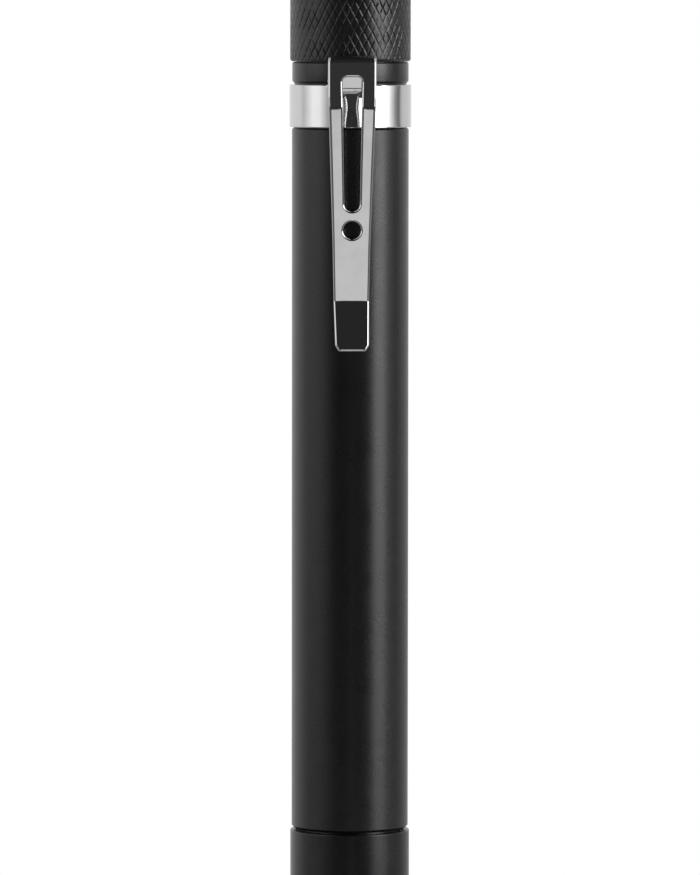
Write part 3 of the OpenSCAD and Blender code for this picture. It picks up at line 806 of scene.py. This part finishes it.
def laid_axes(across, distance):
    """Unit vectors of the blank at a point: across it, along it and out of it."""
    small = SMALL_STEP
    side = (laid(across + small, distance) - laid(across - small, distance)).normalized()
    forward = laid(across, distance + small) - laid(across, distance - small)
    out = side.cross(forward).normalized()
    return side, out.cross(side), out


def edge_round(point):
    """Width and depth of the edge's rounding: fine on the ring, narrow in the slot and low down."""
    beside = eased(abs(point.x), (CLIP_W + FILLET) / 2, CLIP_W / 2 + 2 * FILLET)
    ring = max(beside, 1 - eased(point.y, FILLET / 2, FILLET))
    narrow = eased(point.y, NARROW_FROM, NARROW_TO)
    if abs(point.x) < CLIP_KNEE_W / 3:
        narrow = 1
    wide = EDGE_WIDE - (EDGE_WIDE - EDGE_NARROW) * narrow
    return wide + (RING_EDGE - wide) * ring, SHEET / 2 + (RING_EDGE - SHEET / 2) * ring


def with_stops(outline, closed, columns, rows):
    """The outline with extra points where it crosses the given columns and rows."""
    made = []
    ends = outline[1:] + (outline[:1] if closed else [])
    for one, other in zip(outline, ends):
        step = other - one
        shares = {0.0}
        for axis, stops in ((0, columns), (1, rows)):
            if abs(step[axis]) > LEVEL_STEP:
                shares |= {(stop - one[axis]) / step[axis] for stop in stops}
        shares = sorted(s for s in shares if 0 <= s < LAST_SHARE)
        for i, share in enumerate(shares):
            if i == 0 or (share - shares[i - 1]) * step.length > STOP_GAP:
                made.append(one + step * share)
    return made if closed else made + [outline[-1]]


def outward_normals(outline, closed):
    """For each point of an outline, the direction to its right, away from the sheet."""
    normals = []
    for i, point in enumerate(outline):
        before = outline[i - 1] if closed or i else point
        after = outline[(i + 1) % len(outline)] if closed or i < len(outline) - 1 else point
        direction = (point - before).normalized() + (after - point).normalized()
        direction.normalize()
        normals.append(Vector((direction.y, -direction.x)))
    return normals


def inside(points, loop):
    """Which of the points lie inside the loop."""
    points, loop = np.array(points, float), np.array(loop, float)
    x, y = points[:, :1], points[:, 1:]
    x0, y0 = loop[:, 0], loop[:, 1]
    x1, y1 = np.roll(x0, -1), np.roll(y0, -1)
    spans = (y0 > y) != (y1 > y)
    crossing = x0 + (y - y0) * (x1 - x0) / np.where(y1 == y0, 1e-12, y1 - y0)
    return (spans & (x < crossing)).sum(1) % 2 == 1


def on_sheet(points, border, holes):
    """Which of the points lie inside the border and outside the holes."""
    kept = inside(points, border)
    for hole in holes:
        kept &= ~inside(points, hole)
    return kept


def face_triangles(rows, border, holes):
    """Points and triangles of a flat face between its border and its holes."""
    fill = []
    for row in rows:
        if row < RING_H:
            reach = CLIP_W / 2 + FILL_PAST
            places = {u for u in np.linspace(-reach, reach, FILL_RING) if abs(u) > FILL_FREE}
            places |= set(np.linspace(-FILL_NECK_HALF, FILL_NECK_HALF, FILL_NECK))
        else:
            places = set(np.linspace(-CLIP_W / 2, CLIP_W / 2, FILL_ARM))
        fill += [Vector((u, row)) for u in sorted(places)]
    flat, edges = [], []
    for loop in (border, *holes):
        start, count = len(flat), len(loop)
        flat += loop
        edges += [(start + i, start + (i + 1) % count) for i in range(count)]
    rim = np.array([tuple(p) for p in flat])
    for point, kept in zip(fill, on_sheet(fill, border, holes)):
        if kept and np.hypot(*(rim - np.array(point)).T).min() > FILL_CLEAR:
            flat.append(point)
    placed, _, triangles, *_ = delaunay_2d_cdt(flat, edges, [], 0, MERGE_GAP)
    middles = [sum((placed[i] for i in t), Vector((0, 0))) / 3 for t in triangles]
    kept = on_sheet(middles, border, holes)
    return placed, [triangle for triangle, wanted in zip(triangles, kept) if wanted]


def blank_loops():
    """The blank's edge as an upper and a lower line round the ring, then its slot and its eye."""
    half_turn = math.pi * ring_mid
    rows = {round(a, ROW_DIGITS) for a in along}
    rows |= set(np.arange(RING_ROW, RING_H + RING_ROWS_OVER, RING_ROW))
    for start, end in zip(along, along[1:]):
        if end - start > STRAIGHT:
            rows |= {start + STRAIGHT_END, end - STRAIGHT_END}
    rows = sorted(rows | set(np.arange(RING_H + ARM_ROWS_FROM, clip_end, ARM_ROW)))
    columns = [half_turn * (2 * i / RING_COLUMNS - 1) for i in range(RING_COLUMNS + 1)]
    half, tip_half = CLIP_W / 2, CLIP_TIP_W / 2
    asides = (ASIDE, ASIDE, 0, 0)
    root = [
        (half_turn, RING_H),
        (half + ROOT_SIDE, RING_H, FILLET),
        (half, along_arm(band_high.z - TAPER_DROP), SIDE_ROUND),
    ]
    taper = [
        (CLIP_MIDDLE_W / 2, along_arm(band_high.z - MIDDLE_DROP), SIDE_ROUND),
        (CLIP_KNEE_W / 2, along_arm(knee_z), SIDE_ROUND),
        (tip_half, clip_end - TIP_CUT_H, TIP_ROUND),
        (tip_half - TIP_CUT, clip_end, TIP_ROUND),
    ]
    right = [*root, *((x - aside, *rest) for (x, *rest), aside in zip(taper, asides))]
    left = [*root, *((x + aside, *rest) for (x, *rest), aside in zip(taper, asides))]
    mirrored = [(-x, *rest) for x, *rest in reversed(left)]
    upper = with_stops(rounded(right + mirrored), False, columns, rows)
    lower = with_stops([Vector((-half_turn, 0)), Vector((half_turn, 0))], False, columns, rows)
    slot_top, slot_foot = along_arm(band_high.z - SLOT_TOP), along_arm(band_high.z - SLOT_FOOT)
    slot = rounded(
        [
            (-SLOT_TOP_W / 2, slot_top, SLOT_TOP_R),
            (-SLOT_FOOT_W / 2, slot_foot, SLOT_FOOT_R),
            (SLOT_FOOT_W / 2, slot_foot, SLOT_FOOT_R),
            (SLOT_TOP_W / 2, slot_top, SLOT_TOP_R),
        ],
        closed=True,
    )
    eye_middle = Vector((0, along_arm(band_high.z - EYE_DROP)))
    eye = [
        eye_middle + Vector((math.sin(turn), math.cos(turn))) * EYE_D / 2
        for turn in (math.tau * i / EYE_SIDES for i in range(EYE_SIDES))
    ]
    return [
        (upper, False),
        (lower, False),
        (with_stops(slot, True, [], rows), True),
        (eye, True),
    ], rows


def make_clip():
    """The stamped clip as one bent sheet with fully rounded edges and its own exact normals."""
    loops, rows = blank_loops()
    vertices, normals, faces, known = [], [], [], {}

    def vertex(point, edge_normal, step, side):
        """The index of a point of the sheet's skin, from its edge's middle over the rounding."""
        wide, deep = edge_round(point)
        turn = max(0, step - 1) / EDGE_STEPS * math.pi / 2
        flat = point - edge_normal * wide * (1 - math.cos(turn))
        level = SHEET / 2 - deep * (1 - math.sin(turn)) if step else 0
        across, forward, out = laid_axes(flat.x, flat.y)
        normal = (across * edge_normal.x + forward * edge_normal.y) * math.cos(turn) / wide
        normal += out * side * math.sin(turn) / deep
        place = laid(flat.x, flat.y) + out * side * level
        key = tuple(round(c, PLACE_DIGITS) for c in place)
        if key not in known:
            known[key] = len(vertices)
            vertices.append(place)
            normals.append(normal.normalized())
        return known[key]

    none = Vector((0, 0))
    face_loops = []
    for outline, closed in loops:
        outwards = outward_normals(outline, closed)
        for side in (1, -1):
            strips = [
                [vertex(p, n, step, side) for p, n in zip(outline, outwards)]
                for step in range(EDGE_STEPS + 2)
            ]
            for one, other in zip(strips, strips[1:]):
                count = len(one) if closed else len(one) - 1
                for i in range(count):
                    j = (i + 1) % len(one)
                    quad = (one[i], one[j], other[j], other[i])
                    if len(set(quad)) == 4:
                        faces.append(quad if side > 0 else quad[::-1])
        face_loops.append([p - n * edge_round(p)[0] for p, n in zip(outline, outwards)])

    border, holes = face_loops[0] + face_loops[1], face_loops[2:]
    placed, triangles = face_triangles(rows, border, holes)
    for side in (1, -1):
        skin = [vertex(p, none, EDGE_STEPS + 1, side) for p in placed]
        for triangle in triangles:
            corners = tuple(skin[i] for i in triangle)
            if len(set(corners)) == 3:
                faces.append(corners if side > 0 else corners[::-1])

    mesh = bpy.data.meshes.new("clip_sheet")
    mesh.from_pydata([v * MM for v in vertices], [], faces)
    mesh.shade_smooth()
    mesh.normals_split_custom_set_from_vertices(normals)
    clip = bpy.data.objects.new("clip_sheet", mesh)
    bpy.context.scene.collection.objects.link(clip)
    dress(clip, None, "clip_chrome", ["clip_band", "clip_arm"])
    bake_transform(clip)
    return clip


make_clip()


# Springs, reflector and light

COIL_STEPS = 32
WIRE_SIDES = 12
BUTTON_WIRE = 0.35
BUTTON_TURNS = 4
TAIL_WIRE = 0.6
TAIL_TURNS = 6
TAIL_CELL_R = 2.4
TAIL_PLATE_R = 3.6
MIRROR_LIP = 0.95
MIRROR_NARROW_R = 1.8
MIRROR_WALL = 0.45
MIRROR_STEPS = 40
MIRROR_SEGMENTS = 160
LIGHT_BASE_H = 0.7
LIGHT_BASE_GAP = 0.02
LIGHT_BASE_BEVEL = 0.08
CHIP_HALF = 0.65
CHIP_OVER = 0.12
CHIP_UNDER = 0.05
CHIP_BEVEL = 0.03
BOX_BEVEL_STEPS = 2
DOME_STEPS = 16
DOME_SEGMENTS = 64
DOME_GAP = 0.01


def coil(foot, low_r, high_r, length, wire, turns):
    """Points and faces of a wound wire that stands on foot, straight at both ends."""
    steps = turns * COIL_STEPS
    path = [Vector((low_r, 0, foot))]
    for i in range(steps + 1):
        share, angle = i / steps, math.tau * i / COIL_STEPS
        radius = low_r + (high_r - low_r) * share
        height = foot + wire + (length - 2 * wire) * share
        path.append(Vector((radius * math.cos(angle), radius * math.sin(angle), height)))
    path.append(Vector((high_r, 0, foot + length)))
    vertices, faces = [], []
    for i, point in enumerate(path):
        forward = path[min(i + 1, len(path) - 1)] - path[max(i - 1, 0)]
        out = Vector((point.x, point.y, 0)).normalized()
        side = forward.cross(out).normalized()
        up = side.cross(forward).normalized()
        for k in range(WIRE_SIDES):
            turn = math.tau * k / WIRE_SIDES
            vertices.append(point + (up * math.cos(turn) + side * math.sin(turn)) * wire / 2)
    for i in range(len(path) - 1):
        for k in range(WIRE_SIDES):
            a, b = i * WIRE_SIDES + k, i * WIRE_SIDES + (k + 1) % WIRE_SIDES
            faces.append((a, b, b + WIRE_SIDES, a + WIRE_SIDES))
    last = (len(path) - 1) * WIRE_SIDES
    faces += [tuple(range(WIRE_SIDES)), tuple(range(last + WIRE_SIDES - 1, last - 1, -1))]
    return vertices, faces


def make_tail_spring():
    """The conical spring on the rear cell."""
    low, high = span("tail_spring")
    shape = coil(low.z, TAIL_CELL_R, TAIL_PLATE_R, high.z - low.z, TAIL_WIRE, TAIL_TURNS)
    return dress(solid("cell_spring", shape), "tail_spring", "spring_steel", ["tail_spring"])


def make_button_spring():
    """The button's spring, wound at full length with a mesh of its own."""
    low, high = span("switch_spring")
    radius, length = high.x - BUTTON_WIRE / 2, high.z - low.z
    shape = coil(low.z, radius, radius, length, BUTTON_WIRE, BUTTON_TURNS)
    spring = dress(solid("button_spring", shape), "tail_cap", "spring_steel", ["switch_spring"])
    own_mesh(spring)


def make_reflector():
    """The parabolic mirror with its flange."""
    low, high = span("reflector")
    wide, narrow = high.x - MIRROR_LIP, MIRROR_NARROW_R
    flange_top, length = low.z + MIRROR_FLANGE, high.z - low.z
    steepness = (wide * wide - narrow * narrow) / length
    cup = []
    for i in range(MIRROR_STEPS + 1):
        z = low.z + length * i / MIRROR_STEPS
        cup.append((math.sqrt(narrow * narrow + steepness * (high.z - z)), z))
    shell = [(r + MIRROR_WALL, z) for r, z in reversed(cup) if z > flange_top]
    rim = [(shell[-1][0], flange_top), (high.x, flange_top), (high.x, low.z)]
    shape = turned([*cup, *shell, *rim][::-1], MIRROR_SEGMENTS)
    return dress(solid("mirror_cup", shape), "barrel", "reflector_mirror", ["reflector"])


def bevelled_box(name, low, high, bevel, material):
    """A box between two corners, with bevelled edges and a material of its own."""
    points = [
        (x, y, z) for x in (low[0], high[0]) for y in (low[1], high[1]) for z in (low[2], high[2])
    ]
    faces = [(0, 1, 3, 2), (4, 6, 7, 5), (0, 4, 5, 1), (2, 3, 7, 6), (0, 2, 6, 4), (1, 5, 7, 3)]
    box = solid(name, (points, faces))
    edges = box.modifiers.new("edges", "BEVEL")
    edges.width, edges.segments = bevel * MM, BOX_BEVEL_STEPS
    box.data.materials.append(material)
    return box


def make_light():
    """The light: a ceramic base with bevelled edges, a phosphor square and a clear dome."""
    low, high = span("led_emitter")
    half, base_z = high.x, high.z - LIGHT_BASE_H
    base = bevelled_box(
        "light_base",
        (-half, -half, base_z + LIGHT_BASE_GAP),
        (half, half, high.z),
        LIGHT_BASE_BEVEL,
        CERAMIC,
    )
    chip = bevelled_box(
        "light_chip",
        (-CHIP_HALF, -CHIP_HALF, base_z - CHIP_OVER),
        (CHIP_HALF, CHIP_HALF, base_z + CHIP_UNDER),
        CHIP_BEVEL,
        PHOSPHOR,
    )
    radius, dome_z = base_z - low.z, base_z + DOME_GAP
    arc = []
    for i in range(DOME_STEPS + 1):
        angle = math.pi / 2 * i / DOME_STEPS
        arc.append((radius * math.sin(angle), dome_z - radius * math.cos(angle)))
    dome = solid("light_cover", turned([*arc, (0, dome_z)], DOME_SEGMENTS))
    for piece, slot in ((base, "white_board"), (chip, "light_dome"), (dome, "light_dome")):
        dress(piece, "barrel", slot, ["led_emitter"])


make_tail_spring()
make_button_spring()
make_reflector()
make_light()


# Studio: a white floor and backdrop, and light from both sides with a dark gap in front

FLOOR_R = 0.1
FLOOR_SIDES = 128
FLOOR_DROP = 0.02
FLOOR_GREY = 0.72
FLOOR_FADE = (0.02, 0.09)
FLOOR_WHITE = (0.5, 1.0)
# Azimuth in degrees, then the levels high up, above, below and deep down
AROUND = [
    (-180, 0.5, 0.9, 0.8, 0.8),
    (-140, 0.5, 0.9, 0.75, 0.7),
    (-132, 0.5, 0.9, 0.7, 0.6),
    (-114, 0.5, 0.9, 0.7, 0.6),
    (-103, 0.5, 0.7, 0.5, 0.5),
    (-92, 0.6, 0.95, 0.25, 0.35),
    (-77, 0.8, 1.32, 0.15, 0.22),
    (-62, 0.8, 1.26, 0.11, 0.2),
    (-50, 0.5, 0.75, 0.08, 0.18),
    (-32, 0.024, 0.045, 0.035, 0.12),
    (-1.5, 0.024, 0.045, 0.035, 0.12),
    (-0.8, 0.024, 0.045, 0.035, 0.83),
    (3.8, 0.024, 0.045, 0.035, 0.83),
    (4.5, 0.024, 0.045, 0.035, 0.12),
    (34, 0.024, 0.045, 0.035, 0.12),
    (44, 0.5, 0.9, 0.07, 0.18),
    (48, 0.8, 6.3, 0.08, 0.2),
    (69, 1.2, 6.3, 0.1, 0.2),
    (74, 1.2, 1.8, 0.12, 0.25),
    (84, 1.0, 1.03, 0.22, 0.4),
    (94, 0.8, 0.44, 0.28, 0.4),
    (100, 0.6, 0.28, 0.3, 0.4),
    (106, 0.5, 0.2, 0.3, 0.4),
    (112, 0.5, 0.62, 0.3, 0.4),
    (118, 0.5, 0.76, 0.3, 0.5),
    (130, 0.5, 0.78, 0.35, 0.7),
    (140, 0.5, 0.8, 0.4, 0.8),
    (180, 0.5, 0.9, 0.8, 0.8),
]
BRIGHTEST = 6.3
OVERHEAD_MIDDLE = 0.015
OVERHEAD_SIDES = 0.8
OVERHEAD_RISE = (0.1, 0.35)
# Heights in degrees between which each level turns into the next one, from deep down upwards
RISES = [(-8.9, -7.4), (-3.5, -1.5), (15, 38), (64, 70)]


def make_floor():
    """A round white floor that turns plain white for the camera away from the object's foot."""
    mesh = bpy.data.meshes.new("studio_floor")
    turns = [math.tau * i / FLOOR_SIDES for i in range(FLOOR_SIDES)]
    rim = [Vector((math.cos(turn), math.sin(turn), 0)) * FLOOR_R for turn in turns]
    mesh.from_pydata(rim, [], [tuple(range(FLOOR_SIDES))])
    floor = bpy.data.objects.new("studio_floor", mesh)
    floor.location.z = -FLOOR_DROP * MM
    bpy.context.scene.collection.objects.link(floor)
    material = bpy.data.materials.new("white_floor")
    material.use_nodes = True
    tree = material.node_tree
    tree.nodes.remove(tree.nodes["Principled BSDF"])
    matt = tree.nodes.new("ShaderNodeBsdfDiffuse")
    matt.inputs["Color"].default_value = (FLOOR_GREY, FLOOR_GREY, FLOOR_GREY, 1)
    white = tree.nodes.new("ShaderNodeEmission")
    place = tree.nodes.new("ShaderNodeTexCoord")
    length = tree.nodes.new("ShaderNodeVectorMath")
    length.operation = "LENGTH"
    tree.links.new(place.outputs["Object"], length.inputs[0])
    fade = tree.nodes.new("ShaderNodeMapRange")
    ends = zip(("From Min", "From Max", "To Min", "To Max"), FLOOR_FADE + FLOOR_WHITE)
    socket_values(fade, dict(ends))
    tree.links.new(length.outputs["Value"], fade.inputs["Value"])
    path = tree.nodes.new("ShaderNodeLightPath")
    seen = tree.nodes.new("ShaderNodeMath")
    seen.operation = "MULTIPLY"
    tree.links.new(path.outputs["Is Camera Ray"], seen.inputs[0])
    tree.links.new(fade.outputs["Result"], seen.inputs[1])
    mix = tree.nodes.new("ShaderNodeMixShader")
    tree.links.new(seen.outputs[0], mix.inputs[0])
    tree.links.new(matt.outputs[0], mix.inputs[1])
    tree.links.new(white.outputs[0], mix.inputs[2])
    tree.links.new(mix.outputs[0], tree.nodes["Material Output"].inputs["Surface"])
    mesh.materials.append(material)


def make_world():
    """The surroundings by direction and height, plain white for the camera and through glass."""
    world = bpy.data.worlds.new("studio")
    bpy.context.scene.world = world
    world.use_nodes = True
    tree = world.node_tree
    background = tree.nodes["Background"]
    background.inputs["Color"].default_value = (1, 1, 1, 1)
    direction = tree.nodes.new("ShaderNodeTexCoord")
    split = tree.nodes.new("ShaderNodeSeparateXYZ")
    tree.links.new(direction.outputs["Generated"], split.inputs[0])

    def maths(operation, first, second):
        """A maths node on two sockets or numbers."""
        node = tree.nodes.new("ShaderNodeMath")
        node.operation = operation
        for value, socket in zip((first, second), node.inputs):
            if isinstance(value, (int, float)):
                socket.default_value = value
            else:
                tree.links.new(value, socket)
        return node.outputs[0]

    away = maths("MULTIPLY", split.outputs["Y"], -1.0)
    azimuth = maths("ARCTAN2", split.outputs["X"], away)
    turn = maths("ADD", maths("DIVIDE", azimuth, math.tau), 0.5)
    ramp = tree.nodes.new("ShaderNodeValToRGB")
    stops = ramp.color_ramp.elements
    for degrees, *_ in AROUND[1:-1]:
        stops.new(degrees / 360 + 0.5)
    for stop, (degrees, *levels) in zip(stops, AROUND):
        stop.position = degrees / 360 + 0.5
        high, above, below, deep = (level / BRIGHTEST for level in levels)
        stop.color = (above, below, deep, high)
    tree.links.new(turn, ramp.inputs[0])
    channels = tree.nodes.new("ShaderNodeSeparateColor")
    tree.links.new(ramp.outputs["Color"], channels.inputs[0])

    def risen(value, low, high, below, above):
        """A smooth rise from one socket or number to another, as a value goes from low to high."""
        rise = tree.nodes.new("ShaderNodeMapRange")
        rise.interpolation_type = "SMOOTHSTEP"
        socket_values(rise, {"From Min": low, "From Max": high})
        tree.links.new(value, rise.inputs["Value"])
        for end, name in ((below, "To Min"), (above, "To Max")):
            if isinstance(end, (int, float)):
                rise.inputs[name].default_value = end
            else:
                tree.links.new(end, rise.inputs[name])
        return rise.outputs["Result"]

    aside = maths("ABSOLUTE", split.outputs["X"], 0.0)
    middle, sides = OVERHEAD_MIDDLE / BRIGHTEST, OVERHEAD_SIDES / BRIGHTEST
    overhead = risen(aside, *OVERHEAD_RISE, middle, sides)
    level = channels.outputs["Blue"]
    upwards = (channels.outputs["Green"], channels.outputs["Red"], ramp.outputs["Alpha"], overhead)
    for (low, high), upper in zip(RISES, upwards):
        low, high = math.sin(math.radians(low)), math.sin(math.radians(high))
        level = risen(split.outputs["Z"], low, high, level, upper)
    level = maths("MULTIPLY", level, BRIGHTEST)
    path = tree.nodes.new("ShaderNodeLightPath")
    seen = maths("MAXIMUM", path.outputs["Is Camera Ray"], path.outputs["Is Transmission Ray"])
    shown = maths("ADD", maths("MULTIPLY", level, maths("SUBTRACT", 1.0, seen)), seen)
    tree.links.new(shown, background.inputs["Strength"])


make_floor()
make_world()


# Camera: the photograph's, 700 pixels by 875

FOCAL_PIXELS = 7200
FRAME_PIXELS = 875
SENSOR = 36
AIM = Vector((-0.005, 0, 68.28))
DISTANCE = 816
AZIMUTH = math.radians(-1.5)
PITCH_DOWN = math.radians(3.7)
ROLL = math.radians(0.06)

camera_data = bpy.data.cameras.new("photo_camera")
camera_data.sensor_width = SENSOR
camera_data.lens = FOCAL_PIXELS / FRAME_PIXELS * SENSOR
camera = bpy.data.objects.new("photo_camera", camera_data)
bpy.context.scene.collection.objects.link(camera)
bpy.context.scene.camera = camera
towards = Vector(
    (
        math.sin(AZIMUTH) * math.cos(PITCH_DOWN),
        -math.cos(AZIMUTH) * math.cos(PITCH_DOWN),
        math.sin(PITCH_DOWN),
    )
)
camera.location = (AIM + towards * DISTANCE) * MM
upright = (-towards).to_track_quat("-Z", "Y").to_matrix()
camera.rotation_euler = (upright @ Matrix.Rotation(ROLL, 3, "Z")).to_euler()
bpy.context.scene.view_settings.view_transform = "Standard"
